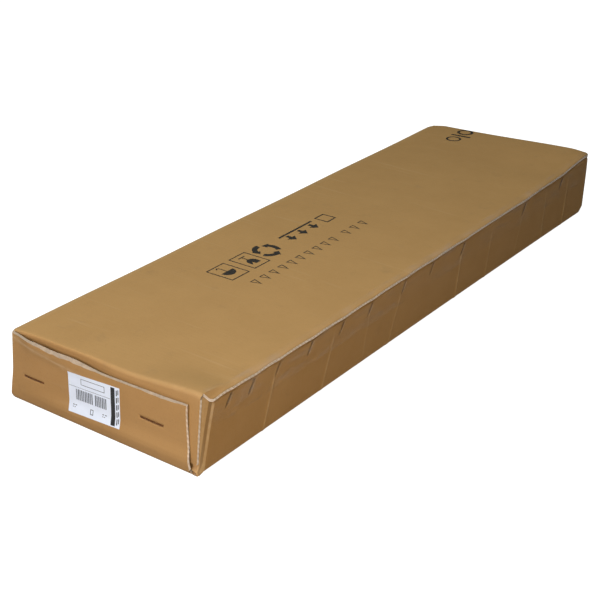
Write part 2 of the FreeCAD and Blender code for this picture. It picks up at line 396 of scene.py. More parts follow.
def press(piece, name, axis, moves):
    """Move the points of a mesh along an axis, each by its own distance."""
    for sign in (1, -1):
        most = max(sign * move for move in moves)
        if most < SMALLEST_MOVE:
            continue
        group = piece.vertex_groups.new(name=name)
        for index, move in enumerate(moves):
            if sign * move > 0:
                group.add([index], sign * move / most, "REPLACE")
        apply_modifier(piece, name, "DISPLACE", direction=axis, strength=sign * most, mid_level=0.0,
                       vertex_group=name)
        piece.vertex_groups.remove(piece.vertex_groups[name])


def press_by(piece, name, axis, rule):
    """Move the points of a mesh along an axis by a rule that gives each point's distance."""
    press(piece, name, axis, [rule(vertex.co) for vertex in piece.data.vertices])


def join(pieces):
    """Join meshes into the first one."""
    bpy.ops.object.select_all(action="DESELECT")
    for piece in pieces:
        piece.select_set(True)
    bpy.context.view_layer.objects.active = pieces[0]
    bpy.ops.object.join()
    return pieces[0]


# The carton's planes

class Fold:
    """The carton's planes, worked out from the frame and the board's sizes."""

    def __init__(self, size):
        self.half_width = CARTON_HIGH.x
        self.half_length = CARTON_HIGH.y
        self.height = CARTON_HIGH.z
        self.radius = size.board + size.crease_radius
        self.layer = size.board + size.layer_gap
        self.under_lid = self.height - self.layer
        self.lid_y = self.half_length - self.layer
        self.dust_y = self.half_length - 2 * self.layer
        self.wrap_half = self.dust_y - self.radius - size.crease_run
        self.inset = self.half_width - self.radius
        self.flap_turn = math.radians(90 * FLAP_PARTS / FOLD_PARTS)
        self.flap_left = self.inset + self.radius * math.sin(self.flap_turn)
        self.flap_rise = self.radius * (1 - math.cos(self.flap_turn))
        self.outer_inside = self.lid_y + size.layer_gap / 2


# Shape that handling has given the carton

def flap_slope(point):
    """Rise of the labelled end's outer flap towards the hinge side, in metres."""
    hinge = 6.5 * smooth(0.01, -0.05, point.x) + 2.5 * smooth(-0.06, -0.1, point.x)
    return (1.5 + hinge + smooth(0.09, 0.12, point.x)) * MM


def flare_height(point):
    """Height of a point above the crease that the outer flap flares from."""
    return point.z - FLARE_START.z + FLARE_FALL * (point.x - FLARE_START.x)


def flap_lean(point):
    """How far the labelled end's outer flap stands off, as a share of the most that it does."""
    x, z = point.x, point.z
    from_hinge = smooth(-0.139, -0.1, x)
    reach = smooth(0.02, -0.09, x) * (0.1 + 0.9 * from_hinge)
    flare = 0.6 * reach * min(1.2, max(0.0, flare_height(point) / 0.011))
    across = (0.3 + 0.7 * from_hinge) * (1 - 0.5 * smooth(0.03, 0.118, x))
    lean = 0.5 * smooth(0.0, 0.085, z) * across
    corner = 0.1 * smooth(0.055, 0.118, x) * smooth(0.05, 0.08, z)
    knee = min(1.0, z / FLAP_KNEE) * smooth(0.034, FLAP_KNEE, z)
    foot = 0.45 * knee * smooth(-0.13, -0.05, x)
    return flare + lean + corner + foot


def pleat_half(place):
    """Half the width of a pleat, from its place in millimetres: wider towards the far end."""
    return PLEAT_HALF + PLEAT_WIDER * max(0, place) * MM


def pleats(point):
    """Depth of the slanted pleats below the seam, as a share of the deepest."""
    along = (PLEAT_TOP - point.z) / PLEAT_DROP
    if not 0 < along < 1:
        return 0.0
    deepest = 0.0
    for k, place in enumerate(SEAM_PLEATS):
        across = abs(point.y - place * MM + PLEAT_LEAN * along) / pleat_half(place)
        if across < 1:
            strength = 0.75 + 0.25 * math.sin(2.4 * k)
            deepest = max(deepest, strength * (1 - across) * math.sin(math.pi * along ** 0.7))
    return deepest


def side_creases(point):
    """Height of the upright creases of the seam side, as a share of the highest."""
    if not 0 < point.z < CREASE_END:
        return 0.0
    highest = 0.0
    fall = (CREASE_TOP - point.z) / (CREASE_TOP - CREASE_FOOT)
    for k, (top, foot) in enumerate(SIDE_CREASES):
        across = abs(point.y - (top + (foot - top) * fall) * MM) / CREASE_HALF
        if across < 1:
            strength = 0.7 + 0.3 * math.sin(1.7 * k + 1)
            highest = max(highest, strength * (1 - across) * smooth(CREASE_END, 0.06, point.z))
    return highest


def lid_dips(point):
    """Depth of the dents in the lid's free edge beside the pleats."""
    depth = sum(math.exp(-((point.y - place * MM) / 0.013) ** 2) for place in SEAM_PLEATS)
    return min(1.0, depth) * smooth(0.115, 0.139, point.x)


def blend(corners, along, up):
    """Blend four corner values over an end: foot and top by the hinge, foot and top by the seam."""
    hinge = corners[0] + (corners[1] - corners[0]) * up
    seam = corners[2] + (corners[3] - corners[2]) * up
    return hinge + (seam - hinge) * along


def seam_rise(point, fold):
    """How far the lid stands above its true place by the seam."""
    x, y, z = point
    up = z / fold.height
    droop = smooth(0.1335, 0.139, x) * smooth(0.045, 0.09, z)
    far = FAR_LIFT * smooth(0.37, 0.51, y) * smooth(-0.14, 0.13, x) * up * up
    near = NEAR_LIFT * smooth(-0.45, -0.505, y) * smooth(0.03, 0.13, x) * up * up * (1 - droop)
    sunk = 1 - 0.25 * smooth(-0.15, 0.0, y) - 0.75 * smooth(0.25, 0.36, y)
    sag = SEAM_SAG * smooth(-0.505, -0.425, y) * sunk
    drop = NEAR_DROOP * smooth(-0.465, -0.495, y) * droop
    return far + near - sag * smooth(0.0, 0.14, x) * up - drop


def handled(point, fold, size):
    """How far handling has moved a point from its place in a true carton."""
    x, y, z = point
    along = 0.5 + x / (2 * fold.half_width)
    up = z / fold.height
    near = smooth(-0.1, -0.5, y)
    far = smooth(0.2, 0.5, y)
    on_lid = z > fold.under_lid - size.board - TINY
    on_seam_side = x > fold.half_width - size.board - TINY and not on_lid
    lean = fold.height * (up - 0.5)
    move = Vector((size.rack_across * lean, size.rack_along * (lean - fold.height * up * far), 0))
    seam_spread = SEAM_SPREAD_NEAR + SEAM_SPREAD_MORE * max(0.0, y + 0.5) ** 2.5
    move.x += (HINGE_SPREAD * near * (1 - along) + seam_spread * along) * (1 - up)
    move.y += near * blend(NEAR_TWIST, along, up) + far * blend(FAR_TWIST, along, up)
    if y < -fold.outer_inside:
        move.y -= FLAP_STAND_OFF * flap_lean(point)
        move.x += FLAP_PUSH * smooth(0.0, 0.06, z) * smooth(-0.1, -0.139, x)
    else:
        behind_flare = smooth(-0.14, -0.105, x) * smooth(0.03, -0.03, x)
        by_fold = smooth(-0.47, -0.503, y) * smooth(0.045, 0.085, z)
        move.y += FOLD_PUSH * behind_flare * by_fold
        move.z += seam_rise(point, fold)
    corners = max(smooth(0.108, 0.14, x), HINGE_CRUSH * smooth(-0.115, -0.14, x))
    crush = corners * smooth(0.482, 0.51, y) * smooth(0.06, 0.09, z)
    move.z -= FAR_CRUSH[0] * crush
    move.y -= FAR_CRUSH[1] * crush
    if on_seam_side:
        move.x += CREASE_RISE * side_creases(point) - PLEAT_DEPTH * pleats(point)
    if on_lid:
        wave = math.sin(20 * y + 0.7) * math.cos(24 * x)
        bend = max(0.0, x - size.lid_right) / (fold.half_width - size.lid_right)
        move.z += LID_WAVE * wave - LID_DENT * lid_dips(point) - EDGE_BEND * bend ** 1.5
    return move


def settle(piece, fold, size):
    """Give a piece the same bows, dents and lean as the rest of the carton."""
    shifts = [handled(vertex.co, fold, size) for vertex in piece.data.vertices]
    for number, axis in enumerate("XYZ"):
        press(piece, "handled", axis, [shift[number] for shift in shifts])


def finish_piece(piece, fold, size, nodes=(), sharp=SHARP_ANGLE):
    """Settle and shade a piece, hang it on the carton's body and say which nodes it stands for."""
    settle(piece, fold, size)
    choose(piece)
    bpy.ops.object.shade_smooth_by_angle(angle=math.radians(sharp))
    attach(piece, "root")
    if nodes:
        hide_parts(*nodes)


# Folded board

def wrap_path(size, fold):
    """Trace the outer face round the lid, back, base, front and the panel under the lid."""
    wide, inset = fold.half_width, fold.inset
    lid = steps([wide, size.lid_right], FINE_STEP) + steps([size.lid_right, -inset], LID_STEP)[1:]
    pairs = [(x, fold.height) for x in lid]
    pairs += turn((-inset, fold.height - fold.radius), fold.radius, 90, 180)
    back = steps([fold.height - fold.radius, fold.radius], BACK_STEP)
    pairs += [(-wide, z) for z in back[1:]]
    pairs += turn((-inset, fold.radius), fold.radius, 180, 270)
    base = steps([-inset, size.outer_right, inset], PLAIN_STEP)
    pairs += [(x, 0.0) for x in base[1:]]
    pairs += turn((inset, fold.radius), fold.radius, 270, 360)
    front = steps([fold.radius, PLEAT_FOOT], PLAIN_STEP)
    front += steps([PLEAT_FOOT, fold.under_lid - fold.radius], FINE_STEP)[1:]
    pairs += [(wide, z) for z in front[1:]]
    pairs += turn((inset, fold.under_lid - fold.radius), fold.radius, 0, 90)
    tuck_end = -wide + size.board + TUCK_CLEARANCE
    pairs += [(x, fold.under_lid) for x in steps([inset, tuck_end], TUCK_STEP)[1:]]
    return [Vector((x, 0, z)) for x, z in pairs]


def fold_wrap(size, fold):
    """Fold the five long panels of the blank from one row of edges."""
    path = wrap_path(size, fold)
    start = path[0] - Vector((0, fold.wrap_half, 0))
    end = path[0] + Vector((0, fold.wrap_half, 0))
    board = start_row("carton_board", start, end, round(2 * fold.wrap_half / PLAIN_STEP))
    extrude_along(path)
    return board


def fold_flap(board, test, path):
    """Extrude one flap from the end edges of its panel."""
    pick(board, "EDGE", lambda edge: edge.is_boundary and test(middle(edge)))
    extrude_along(path)


def fold_end(board, size, fold, end):
    """Fold the four flaps of one end and draw out its corners."""
    edge_y, inset = fold.wrap_half, fold.inset

    def at_end(point):
        return abs(point.y - end * edge_y) < TINY

    def path_up(face_y, radius, start_z, stop_z, pitch):
        rise = 1 if stop_z > start_z else -1
        bend_y = face_y - radius
        bend = (bend_y, start_z + rise * radius)
        pairs = [(y, start_z) for y in steps([edge_y, bend_y], PLAIN_STEP)]
        pairs += turn(bend, radius, -90 * rise, 0)
        pairs += [(face_y, z) for z in steps([bend[1], stop_z], pitch)[1:]]
        return [Vector((0, end * y, z)) for y, z in pairs]

    fold_flap(board, lambda p: at_end(p) and p.z < fold.radius / 2 and p.x < size.outer_right,
              path_up(fold.half_length, size.base_radius, 0.0, size.outer_height, PLAIN_STEP))
    fold_flap(board, lambda p: at_end(p) and p.z > fold.height - fold.radius / 2 and p.x < size.lid_right,
              path_up(fold.lid_y, fold.radius, fold.height, size.lid_tip, LID_FLAP_STEP))
    fold_flap(board, lambda p: at_end(p) and p.z > fold.height - TINY and p.x > size.lid_right,
              [Vector((0, end * y, 0)) for y in steps([edge_y, fold.lid_y - fold.radius], PLAIN_STEP)])
    pick(board, "VERT", lambda vertex: vertex.co.z > fold.height - TINY
         and end * vertex.co.y > edge_y + TINY and abs(vertex.co.x - size.lid_right) < TINY)
    bpy.ops.mesh.remove_doubles(threshold=TINY)
    bend = (inset, fold.dust_y - fold.radius)
    pairs = [(fold.half_width, edge_y), (fold.half_width, bend[1])]
    pairs += turn(bend, fold.radius, 0, 90)
    pairs += [(x, fold.dust_y) for x in steps([inset, fold.half_width - size.dust_reach], DUST_STEP)[1:]]
    fold_flap(board, lambda p: at_end(p) and p.x < -fold.half_width + TINY,
              [Vector((-x, end * y, 0)) for x, y in pairs])
    fold_flap(board, lambda p: at_end(p) and p.x > inset and p.z < fold.under_lid,
              [Vector((x, end * y, 0)) for x, y in pairs])
    fold_flap(board, lambda p: at_end(p) and p.x < -inset,
              [Vector(), Vector((0, end * (fold.dust_y - edge_y), 0))])


def shape_lid_corners(board, size, fold):
    """Round the lid's far corner by the seam and tear its near one."""
    centre = Vector((fold.half_width - ROUNDED, fold.lid_y - fold.radius - ROUNDED, 0))
    cuts = [(TORN_PLACE, TORN_NORMAL)]
    for degrees in (15, 38, 60, 80):
        outwards = Vector((*polar((0, 0), 1, degrees), 0))
        cuts.append((centre + outwards * ROUNDED, outwards))

    def in_corner(point, place):
        return (point.z > fold.height - TINY and point.x > size.lid_right and point.y * place.y > 0
                and abs(point.y) > CORNER_ZONE)

    for place, normal in cuts:
        pick_faces(board, lambda p: in_corner(p, place))
        bpy.ops.mesh.bisect(plane_co=place, plane_no=normal)
        pick_faces(board, lambda p: in_corner(p, place) and (p - place).dot(normal) > 0)
        bpy.ops.mesh.delete(type="FACE")


def score(board, test, place, across, offsets):
    """Cut lines side by side across part of the sheet, for a crease to follow."""
    for offset in offsets:
        pick_faces(board, test)
        bpy.ops.mesh.bisect(plane_co=place + across * offset, plane_no=across)


def on_corner_facet(point):
    """Tell whether a point lies on the facet that turns the seam side's corner by the labelled end."""
    on_plane = abs((point - CORNER_TOP).dot(CORNER_NORMAL)) < TINY
    return on_plane and point.y < -CORNER_ZONE and point.z < 0.0885


def from_corner_crease(point):
    """Distance of a point of the corner's facet from the crease that it starts from, in millimetres."""
    return -(point - CORNER_TOP).dot(CORNER_ACROSS) / MM


def score_side(board, fold):
    """Cut the lines of the pleats, the creases and the corner crease into the seam side."""
    face_x = fold.half_width - TINY
    pleat = Vector((0, PLEAT_DROP, -PLEAT_LEAN)).normalized()
    for place in SEAM_PLEATS:
        top = Vector((0, place * MM, PLEAT_TOP))
        score(board, lambda p: p.x > face_x and abs(p.y - top.y + PLEAT_LEAN / 2) < 0.016
              and p.z > PLEAT_FOOT, top, pleat,
              [k * pleat_half(place) * 0.87 for k in (-1, -0.5, 0, 0.5, 1)])
    for top, foot in SIDE_CREASES:
        place = Vector((0, top * MM, CREASE_TOP))
        line = Vector((0, (foot - top) * MM, CREASE_FOOT - CREASE_TOP))
        across = Vector((0, -line.z, line.y)).normalized()
        centre = (top + foot) / 2 * MM
        score(board, lambda p: p.x > face_x and abs(p.y - centre) < 0.018, place, across,
              (-CREASE_HALF, 0, CREASE_HALF))
    line = CORNER_FOOT - CORNER_TOP
    across = Vector((0, -line.z, line.y)).normalized()
    score(board, lambda p: p.x > face_x and p.y < -0.47, CORNER_TOP, across, (0.0014, 0.0028))
    score(board, on_corner_facet, CORNER_TOP, CORNER_ACROSS,
          [-place * MM for place in (*CORNER_RIDGE, *CORNER_VALLEY, CORNER_END)])


def flatten(board, test, place, normal):
    """Cut the sheet along a plane, and press what stands past the plane flat against it."""
    pick_faces(board, test)
    bpy.ops.mesh.bisect(plane_co=place, plane_no=normal)
    pick(board, "VERT", lambda vertex: (vertex.co - place).dot(normal) > 0 and test(vertex.co))
    bpy.ops.transform.resize(value=(1, 1, 0), orient_matrix=normal.to_track_quat("Z", "Y").to_matrix(),
                             orient_type="GLOBAL", orient_matrix_type="GLOBAL",
                             constraint_axis=(False, False, True), center_override=place)


def flatten_corners(board, size, fold):
    """Turn the seam side's corner by the labelled end in a facet, and crush its far corner at the base."""
    slot = size.outer_right - TINY
    outermost = fold.dust_y + TINY
    below_lid = fold.under_lid + TINY
    flatten(board, lambda p: p.x > slot and -outermost < p.y < -CORNER_ZONE and p.z < below_lid,
            CORNER_TOP, CORNER_NORMAL)
    crushed = Vector((fold.half_width, fold.dust_y, CRUSHED_HEIGHT))
    flatten(board, lambda p: p.x > slot and 0.47 < p.y < outermost and p.z < 0.03, crushed, CRUSHED_NORMAL)


def score_flap(board, fold):
    """Cut the line that the labelled end's outer flap flares from."""
    across = Vector((FLARE_FALL, 0, 1)).normalized()
    score(board, lambda p: p.y < -fold.half_length + TINY and p.x < 0.03 and p.z > 0.045,
          FLARE_START, across, (-0.0015, 0.0, 0.0015))


def refine_round_staples(board, fold):
    """Divide the sheet more finely where the staples press into it."""
    for centre in STAPLE_PLACES.values():
        pick_faces(board, lambda p: abs(abs(p.y) - fold.half_length) < TINY
                   and abs(p.x - centre.x) < GROOVE_ROOM[0] and abs(p.z - centre.z) < GROOVE_ROOM[1])
        bpy.ops.mesh.subdivide(number_cuts=GROOVE_CUTS)


def hollow_edge(board, size, test, inward):
    """Hollow a cut edge between its liners, in the pale paper of the flutes."""
    pick(board, "FACE", lambda face: face.material_index == 1 and face.normal.dot(inward) < -0.85
         and test(face.calc_center_median()))
    board.active_material_index = 2
    bpy.ops.object.material_slot_assign()
    bpy.ops.mesh.inset(thickness=size.liner, use_boundary=True, use_even_offset=True)
    bpy.ops.mesh.extrude_region_move(TRANSFORM_OT_translate={"value": inward * size.flute_depth})


def flute_ribbon(name, size, start, along, across, inward, run):
    """Model the wavy paper that fills a hollow edge: one flute repeated along it."""
    count = max(1, round(run / size.flute_pitch))
    pitch = run / count
    rise = (size.board - 2 * size.liner - size.medium) / 2
    parts = 8
    first = start + inward * size.liner
    wave = [first + along * (pitch * k / parts) + across * (rise * math.sin(math.tau * k / parts))
            for k in range(parts + 1)]
    ribbon = start_row(name, wave[0], wave[0] + inward * (size.flute_depth - size.liner))
    extrude_along(wave)
    leave()
    apply_modifier(ribbon, "repeat", "ARRAY", count=count, use_relative_offset=False,
                   use_constant_offset=True, constant_offset_displace=along * pitch,
                   use_merge_vertices=True, merge_threshold=TINY)
    apply_modifier(ribbon, "thickness", "SOLIDIFY", thickness=size.medium, offset=0.0)
    return ribbon


def flute_edges(board, size, fold, flute_material):
    """Hollow the cut edges that cross the flutes and fill them with the wavy paper."""
    right, up = Vector((1, 0, 0)), Vector((0, 0, 1))
    half_board = size.board / 2
    edit(board)
    hollow_edge(board, size, lambda p: p.z > fold.height - size.board and p.x > size.lid_right, -right)
    lid_edge = [vertex.co.y for vertex in bmesh.from_edit_mesh(board.data).verts
                if vertex.co.x > fold.half_width - TINY and vertex.co.z > fold.height - TINY]
    flaps = [(fold.half_length, size.outer_right, fold.flap_rise, size.base_radius, size.outer_height),
             (fold.lid_y, size.lid_right, -fold.flap_rise, size.lid_tip, fold.height - fold.radius)]
    seams = []
    for face_y, right_x, rise, low, high in flaps:
        for end in (NEAR, FAR):
            for edge_x, inward, raised in ((right_x, -right, 0.0), (-fold.flap_left, right, rise)):
                foot, top = low + raised, high + raised
                hollow_edge(board, size, lambda p: abs(p.x - edge_x) < TINY and foot < p.z < top
                            and abs(abs(p.y) - face_y + half_board) < half_board and p.y * end > 0, inward)
                start = Vector((edge_x, end * (face_y - half_board), foot + size.liner))
                seams.append((start, up, Vector((0, 1, 0)), inward, high - low - 2 * size.liner))
    leave()
    lid_start = Vector((fold.half_width, min(lid_edge) + size.liner, fold.height - half_board))
    seams.append((lid_start, Vector((0, 1, 0)), up, -right, max(lid_edge) - min(lid_edge) - 2 * size.liner))
    ribbons = [flute_ribbon("flutes", size, *seam) for seam in seams]
    for ribbon in ribbons:
        ribbon.data.materials.append(flute_material)
    return join([board] + ribbons)


def dent_staples(board, fold):
    """Press the grooves of the staple crowns into the outer flaps."""

    def groove(point):
        if abs(point.y) < fold.outer_inside:
            return 0.0
        deepest = 0.0
        for side, centre in STAPLE_PLACES.items():
            away = point.x - centre.x
            off = abs(point.z - centre.z - STAPLE_TILT[side] * away)
            deepest = max(deepest, smooth(0.003, 0.0011, off) * smooth(0.0185, 0.0165, abs(away)))
        return deepest

    press_by(board, "grooves", "Y", lambda p: math.copysign(GROOVE_DEPTH, -p.y) * groove(p))


def shape_near_flaps(board, size, fold):
    """Crush and slope the labelled end's outer flap at its top, and spread the end's flaps at the foot."""

    def crushed(point):
        if point.y > -fold.half_length + TINY or point.z < size.outer_height - TINY:
            return 0.0
        x = point.x
        wide = smooth(-0.136, -0.06, x) * smooth(0.004, -0.03, x)
        right = 0.45 * smooth(0.055, 0.07, x) * smooth(0.12, 0.1, x)
        ragged = 0.8 + 0.12 * math.sin(310 * x) + 0.08 * math.sin(520 * x + 1)
        return -FLAP_CRUSH * max(0.2, wide, right) * ragged

    def sloped(point):
        if point.y > -fold.outer_inside:
            return 0.0
        return flap_slope(point) * min(1.0, point.z / size.outer_height)

    def spread(point):
        in_lid_flap = -fold.outer_inside < point.y < -fold.dust_y - size.layer_gap / 2
        if in_lid_flap and point.z > size.lid_tip - fold.flap_rise - TINY:
            low = max(0.0, 1 - point.z / fold.under_lid)
            return (0.3 + 2.2 * low ** 1.7) * MM * smooth(0.06, size.lid_right, point.x)
        if point.y < -fold.outer_inside or point.z < fold.radius - TINY:
            low = max(0.0, 1 - point.z / size.outer_height)
            beside = smooth(0.05, size.outer_right, point.x) * smooth(fold.inset, size.outer_right, point.x)
            return (11.0 * low ** 1.5 - 0.6) * MM * beside * smooth(-0.5005, -0.506, point.y)
        return 0.0

    def sharpened(point):
        out = fold.half_width - point.x
        at_foot = smooth(-0.499, -0.504, point.y) * smooth(0.006, 0.0, point.z)
        return 0.8 * out * at_foot if point.x > fold.inset - size.board and out > 0 else 0.0

    def stepped_out(point):
        in_dust_flap = -fold.dust_y - TINY < point.y < -fold.dust_y + fold.radius
        return -CORNER_STEP * in_dust_flap * smooth(0.118, 0.13, point.x) * smooth(0.013, 0.004, point.z)

    def tightened(point):
        down, out = fold.height - point.z, fold.lid_y + point.y
        from_axis = math.hypot(fold.radius - down, fold.radius - out)
        if max(down, out) > fold.radius or abs(from_axis - fold.radius) > TINY:
            return Vector()
        return 0.6 * smooth(0.03, -0.05, point.x) * Vector((0, -out, down))

    press_by(board, "tight_fold_out", "Y", lambda p: tightened(p).y)
    press_by(board, "tight_fold_up", "Z", lambda p: tightened(p).z)
    press_by(board, "corner_step", "Y", stepped_out)
    press_by(board, "corner_foot", "X", sharpened)
    press_by(board, "crushed_edge", "Z", crushed)
    press_by(board, "flap_slope", "Z", sloped)
    press_by(board, "flap_spread", "X", spread)


def note(piece, name, rule):
    """Note a value from 0 to 1 at each point of a mesh, for its finish to read."""
    values = piece.data.attributes.new(name, "FLOAT", "POINT")
    for vertex in piece.data.vertices:
        values.data[vertex.index].value = rule(vertex.co)


def note_wear_and_painted_light(board, fold, size):
    """Note where folds are rubbed pale, and where highlights and shade are painted on the board."""
    wide, high = fold.half_width, fold.height

    def near_fold(a, b):
        return smooth(6.5 * MM, 2.2 * MM, math.hypot(a, b))

    def rubbed_and_highlit(point):
        x, y, z = point
        across = wide - abs(x)
        end = fold.half_length - abs(y)
        folds = max(0.6 * near_fold(wide + x, high - z), 0.5 * near_fold(across, z),
                    0.15 * near_fold(end - fold.layer, high - z) * smooth(-0.04, 0.1, x),
                    0.6 * near_fold(across, end - 2 * fold.layer), 0.3 * near_fold(end, z))
        creases = side_creases(point) if x > wide - TINY else 0.0
        corner, flare = 0.0, 0.0
        # Painted highlight on the corner facet's ridge and on the crease past its valley
        if on_corner_facet(point):
            away = from_corner_crease(point)
            ridge = smooth(-0.2, CORNER_RIDGE[0], away) * smooth(CORNER_VALLEY[0], CORNER_RIDGE[1], away)
            corner = max(ridge, 0.7 * smooth(CORNER_VALLEY[1], CORNER_END, away))
        # Painted highlight along the crease that the outer flap flares from
        if y < -fold.half_length + TINY:
            flare = smooth(2.5 * MM, 0.5 * MM, abs(flare_height(point))) * smooth(0.0, -0.05, x)
        return max(folds, creases, corner, flare)

    def shaded(point):
        # Painted shade in the corner facet's valley
        if on_corner_facet(point):
            away = from_corner_crease(point)
            start, stop = CORNER_VALLEY
            return 0.5 * smooth(CORNER_RIDGE[1], start, away) * smooth(CORNER_END, stop, away)
        # Painted shade along the lid's free edge, where it bends down towards the seam
        if point.z > high - TINY:
            return 0.45 * smooth(wide - 1.9 * MM, wide, point.x)
        # Painted shade in a band along the foot of the labelled end
        if point.y < -fold.half_length + size.base_radius:
            return 0.1 * smooth(16 * MM, 13 * MM, point.z)
        # Painted shade in the grooves of the pleats
        return min(1.0, 3.0 * pleats(point)) if point.x > wide - TINY else 0.0

    note(board, "rub", rubbed_and_highlit)
    note(board, "shade", shaded)


# Materials

def node(tree, kind, inputs=(), **settings):
    """Add a shader node with its settings, and set or link its inputs."""
    made = tree.nodes.new("ShaderNode" + kind)
    for key, value in settings.items():
        setattr(made, key, value)
    for key, value in dict(inputs).items():
        if isinstance(value, bpy.types.NodeSocket):
            tree.links.new(value, made.inputs[key])
        else:
            made.inputs[key].default_value = value
    return made


def maths(tree, operation, first, second=0.0):
    """Add a math node and give its output."""
    return node(tree, "Math", {0: first, 1: second}, operation=operation).outputs[0]


def between(tree, value, low, high, first=0.0, last=1.0):
    """Spread a value between two limits over 0 to 1, or over limits of its own."""
    return node(tree, "MapRange", {"Value": value, "From Min": low, "From Max": high, "To Min": first,
                                   "To Max": last}).outputs[0]


def blended(tree, factor, first, second):
    """Mix two colours."""
    return node(tree, "Mix", {0: factor, 6: first, 7: second}, data_type="RGBA").outputs[2]


def solid(value):
    """Give a colour property as a socket value."""
    return (*value, 1.0)


def new_material(name):
    """Start a material and give it back with its node tree and shader."""
    material = bpy.data.materials.new(name)
    material.use_nodes = True
    tree = material.node_tree
    return material, tree, tree.nodes["Principled BSDF"]


def new_group(name, inputs, outputs):
    """Start a node group with float sockets, and vector ones where a name ends in coordinates."""
    group = bpy.data.node_groups.new(name, "ShaderNodeTree")
    for socket in inputs:
        kind = "NodeSocketVector" if socket.endswith("oordinates") else "NodeSocketFloat"
        group.interface.new_socket(socket, in_out="INPUT", socket_type=kind)
    for socket in outputs:
        group.interface.new_socket(socket, in_out="OUTPUT", socket_type="NodeSocketFloat")
    return group, group.nodes.new("NodeGroupInput"), group.nodes.new("NodeGroupOutput")


def paper_fibre_group():
    """Clouds, flecks and fine tooth of paper, for every paper of the carton."""
    group, given, result = new_group("paper_fibre", ("Coordinates", "Cloud Scale", "Fleck Scale"),
                                     ("Clouds", "Flecks", "Tooth"))
    place = given.outputs["Coordinates"]
    clouds = node(group, "TexNoise", {"Vector": place, "Scale": given.outputs["Cloud Scale"], "Detail": 5.0,
                                      "Roughness": 0.6})
    flecks = node(group, "TexNoise", {"Vector": place, "Scale": given.outputs["Fleck Scale"],
                                      "Detail": 2.0})
    tooth = node(group, "TexNoise", {"Vector": place, "Scale": 2400.0, "Detail": 2.0})
    group.links.new(between(group, clouds.outputs["Fac"], 0.3, 0.7), result.inputs["Clouds"])
    group.links.new(between(group, flecks.outputs["Fac"], 0.56, 0.74), result.inputs["Flecks"])
    group.links.new(tooth.outputs["Fac"], result.inputs["Tooth"])
    return group


def flute_ribs_group():
    """Faint ribs where the flutes show through the liner: along the length, or up the ends."""
    group, given, result = new_group("flute_ribs", ("Coordinates", "Normal coordinates", "Pitch"),
                                     ("Ribs",))
    place = node(group, "SeparateXYZ", {0: given.outputs["Coordinates"]})
    facing = node(group, "SeparateXYZ", {0: given.outputs["Normal coordinates"]})
    on_end = maths(group, "GREATER_THAN", maths(group, "ABSOLUTE", facing.outputs["Y"]), 0.6)
    step = node(group, "Mix", {0: on_end, 2: place.outputs["Y"], 3: place.outputs["Z"]}, data_type="FLOAT")
    turned = maths(group, "MULTIPLY", step.outputs[0], math.tau)
    phase = maths(group, "DIVIDE", turned, given.outputs["Pitch"])
    group.links.new(maths(group, "SINE", phase), result.inputs["Ribs"])
    return group


def paper_fibre(tree, groups, spot, cloud_scale, fleck_scale):
    """Place the shared paper fibre in a material."""
    return node(tree, "Group", {"Coordinates": spot, "Cloud Scale": cloud_scale,
                                "Fleck Scale": fleck_scale}, node_tree=groups["fibre"])


def bump(tree, shader, height, distance):
    """Feed a height to the shader's normal."""
    relief = node(tree, "Bump", {"Height": height, "Distance": distance, "Strength": 1.0})
    tree.links.new(relief.outputs[0], shader.inputs["Normal"])


def kraft_material(finish, size, groups):
    """Brown liner of the board: clouded fibre, faint flute ribs, smudges, rubbed folds, painted highlights
    and painted shade.
    """
    material, tree, shader = new_material("kraft_liner")
    place = node(tree, "TexCoord")
    spot = place.outputs["Object"]
    fibre = paper_fibre(tree, groups, spot, 14.0, 650.0)
    ribs = node(tree, "Group", {"Coordinates": spot, "Normal coordinates": place.outputs["Normal"],
                                "Pitch": size.flute_pitch}, node_tree=groups["ribs"])
    paper = blended(tree, fibre.outputs["Clouds"], solid(finish.kraft_dark), solid(finish.kraft))
    flecked = blended(tree, maths(tree, "MULTIPLY", fibre.outputs["Flecks"], 0.22), paper,
                      solid(finish.fleck))
    smudge = node(tree, "TexNoise", {"Vector": spot, "Scale": 31.0, "Detail": 4.0, "Roughness": 0.7})
    smudged = blended(tree, maths(tree, "MULTIPLY", between(tree, smudge.outputs["Fac"], 0.6, 0.78), 0.3),
                      flecked, solid(finish.smudge))
    stretch = node(tree, "Mapping", {"Vector": spot, "Scale": (7.0, 160.0, 40.0)})
    scratch = node(tree, "TexNoise", {"Vector": stretch.outputs[0], "Scale": 1.0, "Detail": 2.0})
    scratches = maths(tree, "MULTIPLY", between(tree, scratch.outputs["Fac"], 0.66, 0.76), 0.17)
    scratched = blended(tree, scratches, smudged, solid(finish.rubbed_and_highlit))
    # Pale where folds are rubbed, with painted highlights on the corner facet's ridge and the flare crease
    rub = node(tree, "Attribute", attribute_name="rub")
    patchy = node(tree, "TexNoise", {"Vector": spot, "Scale": 120.0, "Detail": 3.0})
    wear_and_highlight = maths(tree, "MULTIPLY", rub.outputs["Fac"], between(tree, patchy.outputs["Fac"], 0.1, 0.6))
    wear_and_highlight_paper = blended(tree, maths(tree, "MULTIPLY", wear_and_highlight, 0.8), scratched, solid(finish.rubbed_and_highlit))
    # Painted shade, read from the board's shade attribute
    shade = node(tree, "Attribute", attribute_name="shade")
    finished = blended(tree, maths(tree, "MULTIPLY", shade.outputs["Fac"], 0.85), wear_and_highlight_paper,
                       solid(finish.shade))
    tree.links.new(finished, shader.inputs["Base Color"])
    rough = between(tree, fibre.outputs["Clouds"], 0.0, 1.0, 0.78, 0.66)
    tree.links.new(rough, shader.inputs["Roughness"])
    shader.inputs["Specular IOR Level"].default_value = 0.35
    relief = maths(tree, "ADD", maths(tree, "MULTIPLY", ribs.outputs["Ribs"], 0.35), fibre.outputs["Tooth"])
    bump(tree, shader, relief, 0.00006)
    return material


